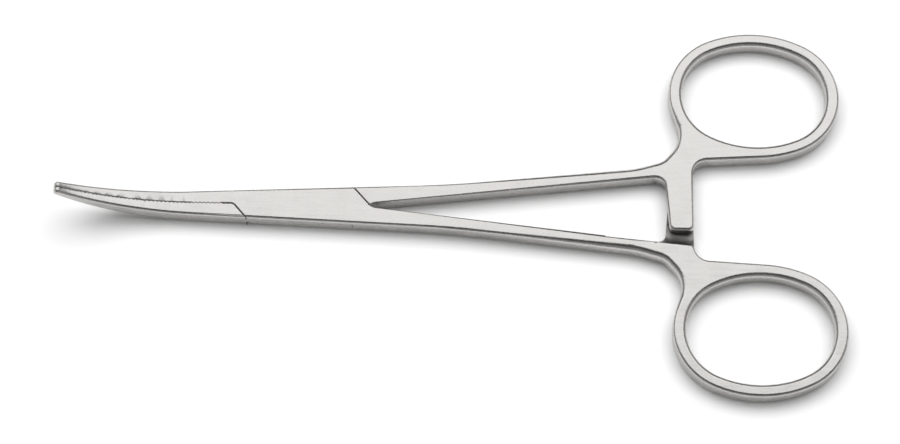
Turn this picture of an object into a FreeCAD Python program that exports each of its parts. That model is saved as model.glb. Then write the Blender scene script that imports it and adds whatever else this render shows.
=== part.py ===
import FreeCAD, Part
import math
import os
from FreeCAD import Vector

# Curved hemostat forceps with a box lock, lying on its side faces, closed.
# The pivot axis is the Z axis, the jaws point along -X, the finger rings lie at +X,
# and the underside of the box, the shanks and the rings is the plane z = 0.
# All lengths are in millimetres and all angles in degrees.

# Stock
thickness = 3.0
lock_clearance = 0.07

# Box lock: half width on the pivot line, taper of its sides, shoulders and slot
box_half_width = 2.78
box_taper = 0.0433
front_shoulder = 10.6
rear_shoulder = 10.9
shoulder_angle = 49.0
front_round = 0.9
crotch_round = 1.8
slot_height = 1.0
slot_clearance = 0.04
plain_seam = 1.2

# Pivot pin
pin_diameter = 2.5
pin_clearance = 0.04

# Jaws: reach and rise of the bend, and the straight nose beyond it
jaw_reach = 37.65
jaw_bend_start = 17.0
jaw_rise = 6.25
nose_length = 0.8
nose_round = 0.55
jaw_tip_thickness = 1.35
jaw_tip_half_width = 1.0
jaw_straight_side = 22.0
serration_pitch = 0.66
serration_depth = 0.2
serration_land = 0.06
tip_land = 0.5
jaw_gap = 0.06

# Where along its pitch each half's row of grooves begins, half a pitch apart
tongue_phase = 0.25
box_phase = 0.75

# Shanks: bend of the outer side where it leaves the box, and the place of both sides at the shank's end
shank_end = 55.5
shank_bow = 24.16
shank_bow_radius = 165.0
outer_end = 7.85
outer_end_slope = 0.30
crotch_gap = 0.38
inner_root = 5.59

# Finger rings: an oval opening of four arcs and its band, placed from the shank's end.
# The end arcs' radius is a share of the opening's half width.
ring_run = 16.75
ring_y = 20.14
ring_opening_length = 23.16
ring_opening_width = 17.9
ring_end_share = 0.916
ring_band = 2.1
ring_tilt = -1.8

# Neck between shank and ring: runs from the shank's end to two bends, and how far out from it
# the corner of the hollow below the oval lies
neck_bow_run = 2.43
neck_bow_radius = 15.0
neck_knee_run = 1.92
neck_knee_radius = 2.9
neck_hollow_rise = 4.18
neck_hollow_radius = 4.7
neck_meets_oval = 198.4
foot_meets_oval = 275.2

# Ratchet bars: from the shank's end to the inner side, width at the root, and lean of the inner side
bar_run = 2.15
bar_width = 4.55
bar_lean = 0.75
bar_reach = 3.58
bar_end_round = 0.95
bar_outer_round = 2.4
bar_inner_round = 1.7
ratchet_gap = 0.08
ratchet_teeth = 4
ratchet_pitch = 1.3
ratchet_depth = 0.35
ratchet_backlash = 0.03
ramp_radius = 2.12
ramp_edge = 6.24
ramp_slope = 0.1
ramp_length = 14.0

# Rounded rims: their radii along the halves, and how many narrow bevels make up each round
rim_round = 0.42
neck_round = 0.9
handle_round = 0.47
seam_round = 0.12
opening_round = 0.7
rim_bevels = 3

# Helper lengths: how far cutters run past what they cut, how far rim cutters reach outside their edge,
# and how closely an edge matches an outline
past = 3.0
rim_reach = 0.4
match = 1e-3


def at(x, y, z=0.0):
    return Vector(x, y, z)


def line(a, b):
    return Part.LineSegment(a, b).toShape()


def box_side(x):
    """Distance of the box's side from the centre line, at x."""
    return box_half_width + box_taper * x


def unit(v):
    w = Vector(v)
    w.normalize()
    return w


def tangent_arc(start, direction, end):
    """Arc that leaves start along direction and passes through end."""
    chord = end - start
    ahead = unit(direction)
    side = Vector(-ahead.y, ahead.x, 0)
    lean = chord.dot(side)
    radius = chord.dot(chord) / (2 * lean)
    centre = start + side * radius
    middle = unit((start + end) * 0.5 - centre) * abs(radius) + centre
    return Part.Arc(start, middle, end).toShape()


def rounded_path(points, radii):
    """Straight runs through points, with the inner corners rounded by radii."""
    edges = []
    last = points[0]
    for before, corner, after, radius in zip(points, points[1:], points[2:], radii):
        back = unit(before - corner)
        on = unit(after - corner)
        half = back.getAngle(on) / 2
        run = radius / math.tan(half)
        middle = corner + unit(back + on) * (radius / math.sin(half) - radius)
        edges.append(line(last, corner + back * run))
        edges.append(Part.Arc(corner + back * run, middle, corner + on * run).toShape())
        last = corner + on * run
    edges.append(line(last, points[-1]))
    return edges


def face(edges):
    return Part.Face(Part.Wire(Part.__sortEdges__(edges)))


def slab(plan, low, high):
    """Plan face lifted to low and thickened to high."""
    lifted = plan.copy()
    lifted.translate(at(0, 0, low))
    return lifted.extrude(at(0, 0, high - low))


def mirrored(shape):
    """The same shape on the other side of the centre line."""
    return shape.mirror(at(0, 0), at(0, 1))


def turned(shape):
    """The same shape turned half round about the centre line at mid thickness."""
    copy = shape.copy()
    copy.rotate(at(0, 0, thickness / 2), at(1, 0), 180)
    return copy


def shoulder_at(corner_x, side, y):
    """Point at y on the shoulder line that runs from its corner, on the centre line, to one side."""
    run = side * y / math.tan(math.radians(shoulder_angle))
    return at(corner_x - math.copysign(1, corner_x) * run, y)


def box_corner(corner_x, side):
    """Where a shoulder line meets the box's side."""
    lean = math.copysign(1 / math.tan(math.radians(shoulder_angle)), corner_x)
    y = box_side(corner_x) / (1 + box_taper * lean)
    return shoulder_at(corner_x, side, side * y)


# Finger ring oval, with the angles of its outward directions counted from its own long axis

def oval_run():
    """Distance of the end arcs' centres from the oval's centre."""
    return ring_opening_length / 2 - end_radius()


def end_radius():
    return ring_end_share * ring_opening_width / 2


def side_radius():
    """Radius of the side arcs, which run into the end arcs without a corner."""
    half = ring_opening_width / 2
    return (oval_run() ** 2 + half ** 2 - end_radius() ** 2) / (2 * (half - end_radius()))


def oval_joint():
    """Angle at which the end arc meets the side arc."""
    return math.degrees(math.acos(oval_run() / (side_radius() - end_radius())))


def ring_turn(vector):
    """Direction of the oval's own frame in the part's frame."""
    return FreeCAD.Rotation(at(0, 0, 1), ring_tilt).multVec(vector)


def oval_direction(angle):
    """Direction along the oval, counter-clockwise, at an outward angle."""
    turn = math.radians(angle)
    return ring_turn(at(-math.sin(turn), math.cos(turn)))


def oval_point(grow, angle):
    """Point at an outward angle on the oval, grown from the opening by grow."""
    turn = math.radians(angle)
    out = at(math.cos(turn), math.sin(turn))
    if abs(out.x) > math.cos(math.radians(oval_joint())):
        spot = at(math.copysign(oval_run(), out.x), 0) + out * (end_radius() + grow)
    else:
        drop = side_radius() - ring_opening_width / 2
        spot = at(0, -math.copysign(drop, out.y)) + out * (side_radius() + grow)
    return at(shank_end + ring_run, ring_y) + ring_turn(spot)


def oval_arcs(grow, start, end):
    """Arcs of the grown oval between two angles, from -180 on."""
    joint = oval_joint()
    joints = [joint - 180, -joint, joint, 180 - joint, 180 + joint]
    stops = [start] + [stop for stop in joints if start < stop < end] + [end]
    return [Part.Arc(oval_point(grow, a), oval_point(grow, (a + b) / 2), oval_point(grow, b)).toShape()
            for a, b in zip(stops, stops[1:])]


def ring_opening():
    return oval_arcs(0, oval_joint() - 180, oval_joint() + 180)


# The blank of one half, seen from above. Its shank and ring lie at +Y and its jaw at -Y.

def seam_end():
    """Where the plain part of the jaw's seam ends and its serrations begin."""
    return at(-front_shoulder - plain_seam, -jaw_gap / 2)


def serration_crest():
    return (serration_depth - jaw_gap) / 2


def jaw_side():
    """Bowed outer side of the jaw, from the box's straight side to the tip."""
    start = at(-jaw_straight_side, -box_side(-jaw_straight_side))
    return tangent_arc(start, at(-1, box_taper), at(-jaw_reach, -jaw_tip_half_width))


def jaw_outline():
    """Seam, blunt nose and outer side of the jaw. The nose runs past the tip's end face."""
    crest_start = at(seam_end().x, serration_crest())
    bow = jaw_side()
    tip_corner = at(-jaw_reach, -jaw_tip_half_width)
    nose_out = tip_corner + bow.tangentAt(bow.LastParameter) * past
    nose_in = at(nose_out.x, serration_crest())
    return [line(seam_end(), crest_start), line(crest_start, nose_in), line(nose_in, nose_out),
            line(nose_out, tip_corner), bow, box_side_edge()]


def box_side_edge():
    """Straight side of jaw and box, on the jaw's side of the centre line."""
    return line(at(-jaw_straight_side, -box_side(-jaw_straight_side)), box_corner(rear_shoulder, -1))


def crotch_point():
    return shoulder_at(rear_shoulder, -1, crotch_gap)


def bar_inner_x():
    return shank_end + bar_run


def bar_outer_x():
    return bar_inner_x() + bar_width


def inner_side():
    """Rear shoulder, inner side of the shank, ratchet bar and its foot on the ring, as lines and arcs."""
    foot = oval_point(ring_band, foot_meets_oval)
    along = oval_direction(foot_meets_oval)
    outer_corner = foot - along * ((foot.x - bar_outer_x()) / along.x)
    points = [box_corner(rear_shoulder, -1), crotch_point(), at(bar_inner_x(), inner_root),
              at(bar_inner_x() + bar_lean, -bar_reach), at(bar_outer_x(), -bar_reach), outer_corner, foot]
    rounds = [crotch_round, bar_inner_round, bar_end_round, bar_end_round, bar_outer_round]
    return rounded_path(points, rounds)


def ring_side():
    return oval_arcs(ring_band, foot_meets_oval - 360, neck_meets_oval)


def outer_side():
    """Neck from the ring, outer side of the shank and side of the box, as lines and arcs."""
    meets = oval_point(ring_band, neck_meets_oval)
    down = oval_direction(neck_meets_oval)
    hollow = meets + down * ((outer_end + neck_hollow_rise - meets.y) / down.y)
    knee = at(shank_end + neck_knee_run, outer_end + outer_end_slope * neck_knee_run)
    neck_bow = at(shank_end - neck_bow_run, outer_end - outer_end_slope * neck_bow_run)
    bow = at(shank_bow, box_side(shank_bow))
    points = [meets, hollow, knee, neck_bow, bow, box_corner(-front_shoulder, 1)]
    return rounded_path(points, [neck_hollow_radius, neck_knee_radius, neck_bow_radius, shank_bow_radius])


def plan():
    """Whole outline of one half."""
    root = shoulder_at(-front_shoulder, 1, -jaw_gap / 2)
    front = rounded_path([seam_end(), root, box_corner(-front_shoulder, 1)], [front_round])
    return jaw_outline() + front + inner_side() + ring_side() + outer_side()


# The side view that the blank is cut to: flat box and shanks, jaws that curve upwards.

def bend_radius(start, end):
    """Radius of an arc in the side view that leaves start level and passes through end."""
    run = start.x - end.x
    rise = end.z - start.z
    return (run * run + rise * rise) / (2 * rise)


def bend_arc(start, end):
    radius = bend_radius(start, end)
    half = math.asin((start.x - end.x) / radius) / 2
    middle = at(start.x - radius * math.sin(half), 0, start.z + radius * (1 - math.cos(half)))
    return Part.Arc(start, middle, end).toShape()


def bend_start():
    return at(-jaw_bend_start, 0, thickness / 2)


def bend_end():
    return at(-jaw_reach, 0, thickness / 2 + jaw_rise)


def nose_tilt():
    """Tilt of the nose in radians, where the bend ends."""
    return 2 * math.atan2(jaw_rise, jaw_reach - jaw_bend_start)


def side_view():
    """Solid of the side profile, wide enough for both halves."""
    tilt = nose_tilt()
    along = at(-math.cos(tilt), 0, math.sin(tilt)) * nose_length
    across = at(math.sin(tilt), 0, math.cos(tilt)) * (jaw_tip_thickness / 2)
    half = at(0, 0, thickness / 2)
    far = at(shank_end + ring_run + ring_opening_length, 0, thickness / 2)
    low = bend_end() - across
    high = bend_end() + across
    nose = rounded_path([low, low + along, high + along, high], [nose_round, nose_round])
    under = [line(far - half, bend_start() - half), bend_arc(bend_start() - half, low)]
    over = [bend_arc(bend_start() + half, high), line(bend_start() + half, far + half)]
    profile = face(under + nose + over + [line(far + half, far - half)])
    reach = ring_y + ring_opening_width
    profile.translate(at(0, -reach, 0))
    return profile.extrude(at(0, 2 * reach, 0))


# Rounded rims

def lies_on(edge, outline):
    """Whether edge runs above or below one of the outline's edges."""
    span = edge.LastParameter - edge.FirstParameter
    points = [edge.valueAt(edge.FirstParameter + span * share) for share in (0, 0.5, 1)]
    if math.hypot(points[1].x - points[0].x, points[1].y - points[0].y) < match:
        return False
    spots = [Part.Vertex(p.x, p.y, 0) for p in points]
    return any(all(spot.distToShape(side)[0] < match for spot in spots) for side in outline)


def rims(solid, outline):
    return [edge for edge in solid.Edges if lies_on(edge, outline)]


def rim_section(corner, outward, radius):
    """What a rim of the upper face loses, as an outline square to it, with narrow bevels for its round."""
    centre = corner - outward * radius - at(0, 0, radius)
    turns = [math.pi / 2 * k / rim_bevels for k in range(rim_bevels + 1)]
    round_off = [centre + (outward * math.cos(turn) + at(0, 0, math.sin(turn))) * radius for turn in turns]
    high = at(0, 0, rim_reach)
    beyond = corner + outward * rim_reach
    points = round_off + [round_off[-1] + high, beyond + high, beyond - at(0, 0, radius)]
    return Part.makePolygon(points + points[:1])


def rim_cutter(edge, side, start_radius, end_radius):
    """Cutter that rounds the upper rim above a line or arc, whose outside lies on its right for side 1."""
    sections = []
    for place, radius in ((edge.FirstParameter, start_radius), (edge.LastParameter, end_radius)):
        ahead = edge.tangentAt(place)
        corner = edge.valueAt(place) + at(0, 0, thickness)
        sections.append(rim_section(corner, at(ahead.y, -ahead.x) * side, radius))
    if start_radius != end_radius:
        return Part.makeLoft(sections, True, True)
    profile = Part.Face(sections[0])
    if isinstance(edge.Curve, Part.Line):
        return profile.extrude(edge.valueAt(edge.LastParameter) - edge.valueAt(edge.FirstParameter))
    sweep = math.degrees(edge.LastParameter - edge.FirstParameter)
    return profile.revolve(edge.Curve.Center, edge.Curve.Axis, sweep)


def both_faces(cutters):
    """The cutters of the upper face and their images on the lower face."""
    return cutters + [cutter.mirror(at(0, 0, thickness / 2), at(0, 0, 1)) for cutter in cutters]


def outer_rim_cutters():
    """Rims from the crotch round the handle to the box: thin on the seam, wide on the neck."""
    crotch, shank, *bar = inner_side()[1:]
    outer = outer_side()
    before_box = outer[-1]
    ahead = before_box.tangentAt(before_box.FirstParameter)
    start = before_box.valueAt(before_box.FirstParameter)
    past_box = line(start, start + ahead * (before_box.Length + past))
    chain = [(crotch, seam_round, seam_round), (shank, seam_round, handle_round)]
    chain += [(edge, handle_round, handle_round) for edge in bar + ring_side()]
    chain += [(outer[0], handle_round, neck_round)]
    chain += [(edge, neck_round, neck_round) for edge in outer[1:-3]]
    chain += [(outer[-3], neck_round, rim_round)]
    chain += [(edge, rim_round, rim_round) for edge in (outer[-2], past_box)]
    return [rim_cutter(edge, 1, first, last) for edge, first, last in chain]


def opening_rim_cutters():
    return [rim_cutter(edge, -1, opening_round, opening_round) for edge in ring_opening()]


def blank():
    """One half before its lock, serrations and ratchet are cut."""
    solid = slab(face(plan()), -past, thickness + jaw_rise + past).common(side_view()).Solids[0]
    solid = solid.makeFillet(rim_round, rims(solid, [jaw_side(), box_side_edge()])).Solids[0]
    opening = slab(face(ring_opening()), -past, thickness + past)
    return solid.cut([opening] + both_faces(outer_rim_cutters() + opening_rim_cutters())).Solids[0]


# Box lock

def lock_clearing():
    """Plan of the room that the tongue half leaves for the walls of the box, between the shoulders."""
    slack = lock_clearance / math.sin(math.radians(shoulder_angle))
    wide = box_side(rear_shoulder) + past
    front_x = -front_shoulder - slack
    rear_x = rear_shoulder + slack
    corner = shoulder_at(front_x, -1, seam_end().y)
    front_low = shoulder_at(front_x, -1, -wide)
    front = rounded_path([seam_end(), corner, front_low], [front_round - lock_clearance])
    rear_low = shoulder_at(rear_x, 1, -wide)
    rear_high = shoulder_at(rear_x, 1, wide)
    front_high = at(seam_end().x, wide)
    joins = [line(front_low, rear_low), line(rear_low, rear_high), line(rear_high, front_high),
             line(front_high, seam_end())]
    return face(front + joins)


def tongue_pockets():
    """Pockets above and below the tongue, for the two walls of the box."""
    low = (thickness - slot_height) / 2 + slot_clearance
    return [slab(lock_clearing(), -past, low), slab(lock_clearing(), thickness - low, thickness + past)]


def box_slot():
    """Slot through the box for the other half's tongue."""
    low = (thickness - slot_height) / 2
    return slab(lock_clearing(), low, low + slot_height)


def pin_hole(clearance):
    return Part.makeCylinder(pin_diameter / 2 + clearance, thickness + 2 * past, at(0, 0, -past))


# Jaw serrations

def jaw_station(run):
    """Middle of the jaw's seam at a distance from the start of the bend, and the jaw's tilt there."""
    start = bend_start()
    if run < 0:
        return start - at(run, 0), 0.0
    radius = bend_radius(start, bend_end())
    tilt = run / radius
    return start + at(-radius * math.sin(tilt), 0, radius * (1 - math.cos(tilt))), math.degrees(tilt)


def seam_length():
    """Length of the serrated seam, from its plain part to the tip, and its part before the bend."""
    straight = jaw_bend_start + seam_end().x
    bend = bend_radius(bend_start(), bend_end()) * nose_tilt()
    return straight + bend + nose_length, straight


def seam_cutter(points, run):
    """Cutter across the jaw's inner face. Its outline is given about a place at run along the seam."""
    station, tilt = jaw_station(run)
    high = thickness / 2 + serration_land
    solid = slab(Part.Face(Part.makePolygon(points + points[:1])), -high, high)
    solid.rotate(at(0, 0), at(0, 1), tilt)
    solid.translate(station)
    return solid


def groove(run):
    """V-shaped groove."""
    half = (serration_pitch - serration_land) / 2
    crest = serration_crest()
    points = [at(-half, crest), at(0, crest - serration_depth), at(half, crest),
              at(half, crest + serration_depth), at(-half, crest + serration_depth)]
    return seam_cutter(points, run)


def plain_land(start, end):
    """Stretch of plain seam, where the two jaws nearly touch."""
    half = (end - start) / 2
    low = -jaw_gap / 2
    high = serration_depth
    return seam_cutter([at(-half, low), at(half, low), at(half, high), at(-half, high)], (start + end) / 2)


def jaw_serrations(phase):
    """Grooves along the seam. The other half's are half a pitch on, so that its ridges fit them."""
    total, straight = seam_length()
    count = int((total - tip_land) / serration_pitch - phase)
    first = phase * serration_pitch - straight
    last = first + count * serration_pitch
    half = serration_pitch / 2
    grooves = [groove(first + half + k * serration_pitch) for k in range(count)]
    root_land = plain_land(-straight - plain_seam / 2, first + half)
    return grooves + [root_land, plain_land(last - half, total - straight + past)]


# Ratchet

def ratchet_clearing():
    """What the lower bar leaves free for the upper one: a hollow ramp down from the shank, and the flat."""
    flat = (thickness - ratchet_gap) / 2
    drop = thickness - flat
    run = math.sqrt(ramp_radius ** 2 - (ramp_radius - drop) ** 2)
    x = bar_outer_x() - ramp_length
    edge_y = ramp_slope * ramp_length - ramp_edge
    half = math.asin(run / ramp_radius) / 2
    centre = at(x, edge_y + run, flat + ramp_radius)
    top = at(x, edge_y, thickness)
    foot = at(x, edge_y + run, flat)
    middle = centre - at(0, math.sin(half), math.cos(half)) * ramp_radius
    far = bar_reach + past
    corners = [foot, at(x, far, flat), at(x, far, thickness + past), at(x, edge_y, thickness + past), top]
    edges = [line(a, b) for a, b in zip(corners, corners[1:])]
    profile = face(edges + [Part.Arc(top, middle, foot).toShape()])
    return profile.extrude(at(1, -ramp_slope) * (ramp_length + past))


def ratchet_valleys():
    """Saw-tooth valleys of the lower bar. Their steep sides face its own shank."""
    flat = (thickness - ratchet_gap) / 2
    x = bar_inner_x() - past
    last = (ratchet_teeth - 1) / 2 * ratchet_pitch + ratchet_backlash / 2
    steeps = [last - k * ratchet_pitch for k in range(ratchet_teeth)]
    points = [at(x, steeps[-1] - ratchet_pitch, flat + ratchet_gap), at(x, last, flat + ratchet_gap)]
    for y in steeps:
        points.append(at(x, y, flat - ratchet_depth))
        points.append(at(x, y - ratchet_pitch, flat))
    profile = Part.Face(Part.makePolygon(points + points[:1]))
    return profile.extrude(at(bar_width + 2 * past, 0))


# The pieces. The two halves come from one blank, and the half with the box is its mirror image.

def tongue_half():
    """Half with the thinned tongue: jaw at -Y, shank, ring and upper ratchet bar at +Y."""
    bar = [turned(ratchet_clearing()), turned(ratchet_valleys())]
    cutters = tongue_pockets() + jaw_serrations(tongue_phase) + bar + [pin_hole(pin_clearance)]
    return blank().cut(cutters).Solids[0]


def box_half():
    """Half with the slotted box: jaw at +Y, shank, ring and lower ratchet bar at -Y."""
    bar = [mirrored(ratchet_clearing()), mirrored(ratchet_valleys())]
    cutters = jaw_serrations(box_phase) + bar + [box_slot(), pin_hole(0)]
    return mirrored(blank().cut(cutters)).Solids[0]


def pivot_pin():
    """Pin pressed into the box's walls and ground flush with them."""
    return Part.makeCylinder(pin_diameter / 2, thickness)


def main():
    os.makedirs("parts", exist_ok=True)
    pieces = {"tongue_half": tongue_half(), "box_half": box_half(), "pivot_pin": pivot_pin()}
    for name, shape in pieces.items():
        shape.exportStep("parts/" + name + ".step")
        print(name, "valid" if shape.isValid() else "not valid", round(shape.Volume, 2), "mm3")


main()
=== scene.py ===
import math

import bmesh
import bpy
from mathutils import Matrix, Vector


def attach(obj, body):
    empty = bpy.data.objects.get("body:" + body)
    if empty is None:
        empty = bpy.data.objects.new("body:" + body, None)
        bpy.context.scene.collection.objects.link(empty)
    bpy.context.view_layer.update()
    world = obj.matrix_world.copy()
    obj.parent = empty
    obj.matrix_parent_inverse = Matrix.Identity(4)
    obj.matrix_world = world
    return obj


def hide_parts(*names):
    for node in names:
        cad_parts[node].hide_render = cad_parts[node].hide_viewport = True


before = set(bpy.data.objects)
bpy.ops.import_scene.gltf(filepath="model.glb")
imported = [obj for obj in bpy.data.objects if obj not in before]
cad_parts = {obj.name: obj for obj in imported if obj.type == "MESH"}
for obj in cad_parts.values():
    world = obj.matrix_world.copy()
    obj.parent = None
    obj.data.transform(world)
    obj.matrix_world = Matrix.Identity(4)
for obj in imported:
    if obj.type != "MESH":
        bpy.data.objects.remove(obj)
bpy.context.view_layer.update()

scene = bpy.context.scene
print("frame loaded:", sorted(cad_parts))


# Node helpers for the steel and the room

def addNode(tree, kind, **values):
    node = tree.nodes.new(kind)
    for name, value in values.items():
        setattr(node, name, value)
    return node


# values are numbers or other nodes' outputs
def addMath(tree, operation, *values):
    node = addNode(tree, "ShaderNodeMath", operation=operation)
    for socket, value in zip(node.inputs, values):
        if isinstance(value, bpy.types.NodeSocket):
            tree.links.new(value, socket)
        else:
            socket.default_value = value
    return node.outputs[0]


# a value that runs over one span is made to run over another
def addFade(tree, value, fromSpan, toSpan, style="LINEAR"):
    fade = addNode(tree, "ShaderNodeMapRange", interpolation_type=style)
    fade.inputs["From Min"].default_value, fade.inputs["From Max"].default_value = fromSpan
    fade.inputs["To Min"].default_value, fade.inputs["To Max"].default_value = toSpan
    tree.links.new(value, fade.inputs["Value"])
    return fade.outputs["Result"]


# noise on the piece's own coordinates, with marks of this size along X, Y and Z
def addNoise(tree, place, markSize, detail):
    stretch = addNode(tree, "ShaderNodeMapping")
    stretch.inputs["Scale"].default_value = [1 / size for size in markSize]
    noise = addNode(tree, "ShaderNodeTexNoise")
    noise.inputs["Scale"].default_value = 1.0
    noise.inputs["Detail"].default_value = detail
    tree.links.new(place.outputs["Object"], stretch.inputs["Vector"])
    tree.links.new(stretch.outputs["Vector"], noise.inputs["Vector"])
    return noise.outputs["Fac"]


def addBump(tree, height, depth):
    bump = addNode(tree, "ShaderNodeBump")
    bump.inputs["Distance"].default_value = depth
    tree.links.new(height, bump.inputs["Height"])
    return bump


# Steel: satin on the forged halves and the pin, rough where the ratchet is milled and darker there with
# painted shade

satinSteel = {
    "colour": (0.58, 0.568, 0.552),
    "dullColour": (0.50, 0.49, 0.477),
    "roughness": 0.26,
    "roughnessSwing": 0.08,
    "brushLength": 0.004,        # how long one brush mark is, in metres
    "brushWidth": 0.00006,
    "brushDepth": 0.0000006,
    "mottleSize": 0.003,
    "waveLength": 0.014,         # long shallow waves left by the grinding belt
    "waveWidth": 0.0007,
    "waveDepth": 0.000012,
}

# these colours are painted shade: darker than the satin steel because the ramps lean away from the light
# and the teeth shade each other; the roughness and marks are the milling's own
milledSteelPaintedShade = {
    "colour": (0.37, 0.36, 0.35),
    "dullColour": (0.24, 0.235, 0.23),
    "roughness": 0.42,
    "roughnessSwing": 0.08,
    "brushLength": 0.0003,
    "brushWidth": 0.00012,
    "brushDepth": 0.000004,
    "mottleSize": 0.0006,
    "waveLength": 0.002,
    "waveWidth": 0.001,
    "waveDepth": 0.000004,
}

steelGrain = {
    "brushDetail": 2.0,
    "mottleDetail": 3.0,
    "waveDetail": 1.0,
    "span": (0.6, 1.4),          # what brush and mottle add up to, from smooth to rough
}


def makeSteel(name, finish):
    material = bpy.data.materials.new(name)
    material.use_nodes = True
    tree = material.node_tree
    shader = tree.nodes["Principled BSDF"]
    shader.inputs["Metallic"].default_value = 1.0
    place = addNode(tree, "ShaderNodeTexCoord")

    # brush marks and waves run along X: long in X and fine across it
    brushSize = (finish["brushLength"], finish["brushWidth"], finish["brushWidth"])
    waveSize = (finish["waveLength"], finish["waveWidth"], finish["waveWidth"])
    mottleSize = (finish["mottleSize"],) * 3
    brush = addNoise(tree, place, brushSize, steelGrain["brushDetail"])
    wave = addNoise(tree, place, waveSize, steelGrain["waveDetail"])
    mottle = addNoise(tree, place, mottleSize, steelGrain["mottleDetail"])

    tint = addNode(tree, "ShaderNodeMix", data_type="RGBA")
    tint.inputs["A"].default_value = (*finish["dullColour"], 1)
    tint.inputs["B"].default_value = (*finish["colour"], 1)
    tree.links.new(mottle, tint.inputs["Factor"])
    tree.links.new(tint.outputs["Result"], shader.inputs["Base Color"])

    swing = finish["roughnessSwing"]
    roughSpan = (finish["roughness"] - swing, finish["roughness"] + swing)
    rough = addFade(tree, addMath(tree, "ADD", brush, mottle), steelGrain["span"], roughSpan)
    tree.links.new(rough, shader.inputs["Roughness"])

    waves = addBump(tree, wave, finish["waveDepth"])
    marks = addBump(tree, brush, finish["brushDepth"])
    tree.links.new(waves.outputs["Normal"], marks.inputs["Normal"])
    tree.links.new(marks.outputs["Normal"], shader.inputs["Normal"])
    return material


# Ratchet ramps and teeth: where the milled steel, darkened with painted shade, lies

milledShadedArea = {
    "fromX": 0.0482,
    "toX": 0.0623,
    "lowSide": 0.0005,           # clear of the rounded rims of the bars
    "highSide": 0.00298,
    "farY": 0.0065,              # foot of the ramp, on the shank
    "nearY": 0.0037,             # end of the bar
    "lipHeight": 0.00145,        # from the middle to the edge between ramp and shank
    "leastTilt": 0.15,
    "mostLean": 0.3,
}


# Side is 1 for the lower bar, whose ramp faces up, and -1 for the upper one, which is the same turned over.
# the faces found here get the darker milled steel, whose colour is painted shade
def isMilledAndShaded(face, side):
    middle = face.calc_center_median()
    height = middle.z if side > 0 else 2 * easedEdges["middle"] - middle.z
    return (milledShadedArea["fromX"] < middle.x < milledShadedArea["toX"]
            and -milledShadedArea["farY"] < middle.y * side < milledShadedArea["nearY"]
            and milledShadedArea["lowSide"] < height < milledShadedArea["highSide"]
            and face.normal.z * side > milledShadedArea["leastTilt"]
            and abs(face.normal.x) < milledShadedArea["mostLean"])


# Forged halves and their pin: smooth copies of the solids, with the sharp edges eased

easedEdges = {
    "mergeDistance": 0.0000005,
    "flatAngle": 0.2,            # degrees, faces nearer than this are one flat face
    "sharpAngle": 38,            # degrees, sharper edges are eased
    "width": 0.00005,            # how wide most edges are eased, in metres
    "seamWidth": 0.00015,        # where the two halves meet at the box, and the widest of all
    "slotWidth": 0.000075,       # the tongue's slot in the box
    "lipWidth": 0.00015,         # between the ratchet's ramps and the shanks
    "barWidth": 0.000045,        # the rest of the ratchet
    "serrationWidth": 0.00006,
    "serrationsFrom": -0.0118,   # X where the jaws' grooves begin
    "serrationReach": 0.0003,    # how far the grooves lie from the jaws' seam
    "seamReach": 0.0122,         # the box's seams lie within this distance of the pivot
    "seamFacing": 0.9,           # they border faces that look up or down at least this much
    "pinReach": 0.0014,          # edges this near the pivot are the pin's, and stay sharp
    "middle": 0.0015,            # height of the tongue's middle
    "slotReach": 0.001,          # the slot's edges lie this near the middle
    "segments": 2,
    "flatWeight": 80,            # how strongly large faces pull the shading flat
}


# how wide an edge is eased, in metres
def easeWidth(edge):
    if len(edge.link_faces) != 2 or edge.calc_face_angle() < math.radians(easedEdges["sharpAngle"]):
        return 0.0
    middle = (edge.verts[0].co + edge.verts[1].co) / 2
    fromPivot = math.hypot(middle.x, middle.y)
    fromMiddle = abs(middle.z - easedEdges["middle"])
    if fromPivot < easedEdges["pinReach"]:
        return 0.0
    if middle.x < easedEdges["serrationsFrom"] and abs(middle.y) < easedEdges["serrationReach"]:
        return easedEdges["serrationWidth"]
    if milledShadedArea["fromX"] < middle.x < milledShadedArea["toX"] and abs(middle.y) > milledShadedArea["nearY"]:
        return easedEdges["lipWidth"] if fromMiddle > milledShadedArea["lipHeight"] else easedEdges["barWidth"]
    facing = max(abs(face.normal.z) for face in edge.link_faces)
    if facing > easedEdges["seamFacing"] and fromPivot < easedEdges["seamReach"]:
        return easedEdges["seamWidth"] if fromMiddle > easedEdges["slotReach"] else easedEdges["slotWidth"]
    return easedEdges["width"]


# merges the loose triangles into flat faces, then marks the milled faces, which take the painted shade, and
# how much each edge is eased
def markSurface(mesh, milledShadeSide):
    shape = bmesh.new()
    shape.from_mesh(mesh)
    bmesh.ops.remove_doubles(shape, verts=shape.verts, dist=easedEdges["mergeDistance"])
    bmesh.ops.dissolve_limit(shape, angle_limit=math.radians(easedEdges["flatAngle"]), verts=shape.verts,
                             edges=shape.edges, use_dissolve_boundaries=False)
    for face in shape.faces:
        face.smooth = True
        # material 1 is the milled steel, its darker colour painted shade
        face.material_index = 1 if milledShadeSide and isMilledAndShaded(face, milledShadeSide) else 0
    shares = shape.edges.layers.float.new("bevel_weight_edge")
    for edge in shape.edges:
        edge[shares] = easeWidth(edge) / easedEdges["seamWidth"]
        if edge[shares] == 0 and edge.calc_face_angle(0) > math.radians(easedEdges["sharpAngle"]):
            edge.smooth = False
    shape.to_mesh(mesh)
    shape.free()


def easeEdges(piece):
    ease = piece.modifiers.new("eased edges", "BEVEL")
    ease.width = easedEdges["seamWidth"]
    ease.segments = easedEdges["segments"]
    ease.limit_method = "WEIGHT"
    ease.use_clamp_overlap = False
    ease.face_strength_mode = "FSTR_ALL"
    ease.loop_slide = False
    flat = piece.modifiers.new("flat faces stay flat", "WEIGHTED_NORMAL")
    flat.mode = "FACE_AREA"
    flat.weight = easedEdges["flatWeight"]
    flat.keep_sharp = True
    flat.use_face_influence = True


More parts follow.
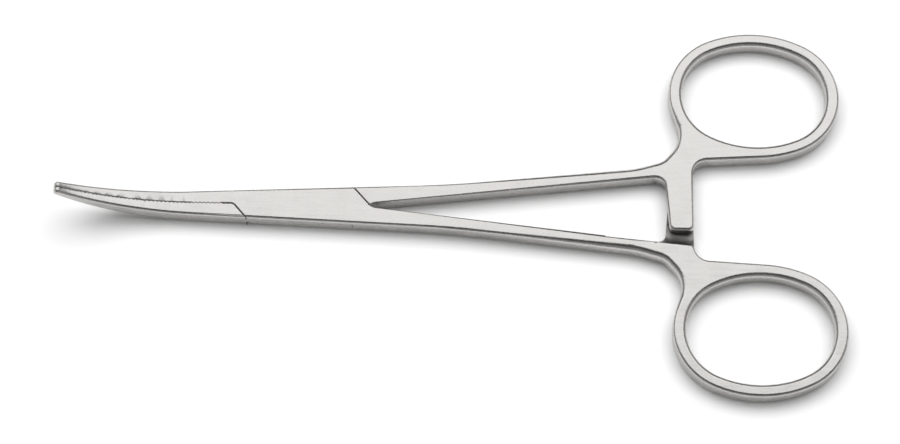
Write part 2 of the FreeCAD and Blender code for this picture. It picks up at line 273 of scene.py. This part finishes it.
def polishedCopy(node, name, body, materials, milledShadeSide=0):
    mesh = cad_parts[node].data.copy()
    mesh.name = name
    mesh.materials.clear()
    for material in materials:
        mesh.materials.append(material)
    markSurface(mesh, milledShadeSide)
    piece = bpy.data.objects.new(name, mesh)
    scene.collection.objects.link(piece)
    easeEdges(piece)
    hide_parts(node)
    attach(piece, body)


satin = makeSteel("satinSteel", satinSteel)
pinSteel = makeSteel("pinSteel", satinSteel)
# milled steel for the ratchet, darker with painted shade
milledPaintedShade = makeSteel("milledSteelPaintedShade", milledSteelPaintedShade)
polishedCopy("tongue_half", "forgedTongueHalf", "tongue_body", [satin, milledPaintedShade], -1)
polishedCopy("box_half", "forgedBoxHalf", "box_body", [satin, milledPaintedShade], 1)
polishedCopy("pivot_pin", "groundPin", "box_body", [pinSteel])
print("forged halves and pin ready")


# Floor: a wide sheet of white paper

floorPaper = {
    "halfSide": 3.0,
    "colour": (0.93, 0.93, 0.93),
}


def makeFloor():
    mesh = bpy.data.meshes.new("floor")
    shape = bmesh.new()
    bmesh.ops.create_grid(shape, x_segments=1, y_segments=1, size=floorPaper["halfSide"])
    shape.to_mesh(mesh)
    shape.free()
    floor = bpy.data.objects.new("floor", mesh)
    scene.collection.objects.link(floor)
    paper = bpy.data.materials.new("whitePaper")
    paper.use_nodes = True
    shader = paper.node_tree.nodes["Principled BSDF"]
    shader.inputs["Base Color"].default_value = (*floorPaper["colour"], 1)
    shader.inputs["Roughness"].default_value = 1.0
    shader.inputs["Specular IOR Level"].default_value = 0.0
    mesh.materials.append(paper)


# Light: a softbox that the steel mirrors, and a light for the paper that it doesn't mirror

lightPanels = {
    "middleX": 0.024,            # middle of the part along X
    "reach": 1.0,                # how far both stand from it, in metres
}

softbox = {
    "height": 59,                # degrees above the floor, towards the far side
    "size": (1.7, 0.68),
    "glow": 1.42,                # radiance
    "mirrored": True,
}

paperLight = {
    "height": 68,
    "size": (1.7, 0.95),
    "glow": 2.2,
    "mirrored": False,
}


def makePanel(name, panel):
    width, length = panel["size"]
    light = bpy.data.lights.new(name, "AREA")
    light.shape = "RECTANGLE"
    light.size, light.size_y = width, length
    light.energy = panel["glow"] * math.pi * width * length
    lamp = bpy.data.objects.new(name, light)
    scene.collection.objects.link(lamp)
    turn = math.radians(panel["height"])
    out = Vector((0, math.cos(turn), math.sin(turn)))
    lamp.location = Vector((lightPanels["middleX"], 0, 0)) + out * lightPanels["reach"]
    lamp.rotation_euler = (-out).to_track_quat("-Z", "Y").to_euler()
    lamp.visible_glossy = panel["mirrored"]


# Room: dark overhead and on the far side, lighter low down at the sides and behind the camera

room = {
    "dark": 0.10,                # radiance everywhere
    "sides": 0.34,               # what the sides add
    "near": 0.20,                # what the camera's side adds
    "nearSpan": (0.0, -0.4),     # where the camera's side begins and where it is full, as a cosine
    "wallSpan": (0.62, 0.80),    # where the walls give way to the ceiling, as a sine
}


def makeRoom():
    world = bpy.data.worlds.new("room")
    world.use_nodes = True
    tree = world.node_tree
    place = addNode(tree, "ShaderNodeTexCoord")
    way = addNode(tree, "ShaderNodeSeparateXYZ")
    tree.links.new(place.outputs["Generated"], way.inputs[0])
    sideways = addMath(tree, "MULTIPLY", way.outputs["X"], way.outputs["X"])
    sides = addMath(tree, "MULTIPLY", sideways, room["sides"])
    near = addFade(tree, way.outputs["Y"], room["nearSpan"], (0.0, room["near"]), "SMOOTHSTEP")
    walls = addMath(tree, "ADD", sides, near)
    low = addFade(tree, way.outputs["Z"], room["wallSpan"], (1.0, 0.0), "SMOOTHSTEP")
    glow = addMath(tree, "MULTIPLY_ADD", walls, low, room["dark"])
    background = tree.nodes["Background"]
    background.inputs["Color"].default_value = (1, 1, 1, 1)
    tree.links.new(glow, background.inputs["Strength"])
    scene.world = world


makeFloor()
makePanel("softbox", softbox)
makePanel("key", paperLight)
makeRoom()
print("floor, lights and room ready")


# Camera, solved from the photo, in metres

view = {
    "target": (0.02369, -0.00277, 0.003),
    "place": (0.02627, -0.17467, 0.40802),
    "right": (0.99989, 0.01501, 0),
    "lens": 111.6,               # millimetres, as is the sensor
    "sensor": 36,
    "nearest": 0.01,
}


def makeCamera():
    camera = bpy.data.objects.new("camera", bpy.data.cameras.new("camera"))
    scene.collection.objects.link(camera)
    back = (Vector(view["place"]) - Vector(view["target"])).normalized()
    right = Vector(view["right"])
    right = (right - back * right.dot(back)).normalized()
    up = back.cross(right)
    turn = Matrix((right, up, back)).transposed().to_4x4()
    camera.matrix_world = Matrix.Translation(view["place"]) @ turn
    camera.data.lens = view["lens"]
    camera.data.sensor_width = view["sensor"]
    camera.data.clip_start = view["nearest"]
    scene.camera = camera


makeCamera()
scene.view_settings.view_transform = "Standard"
print("camera ready")
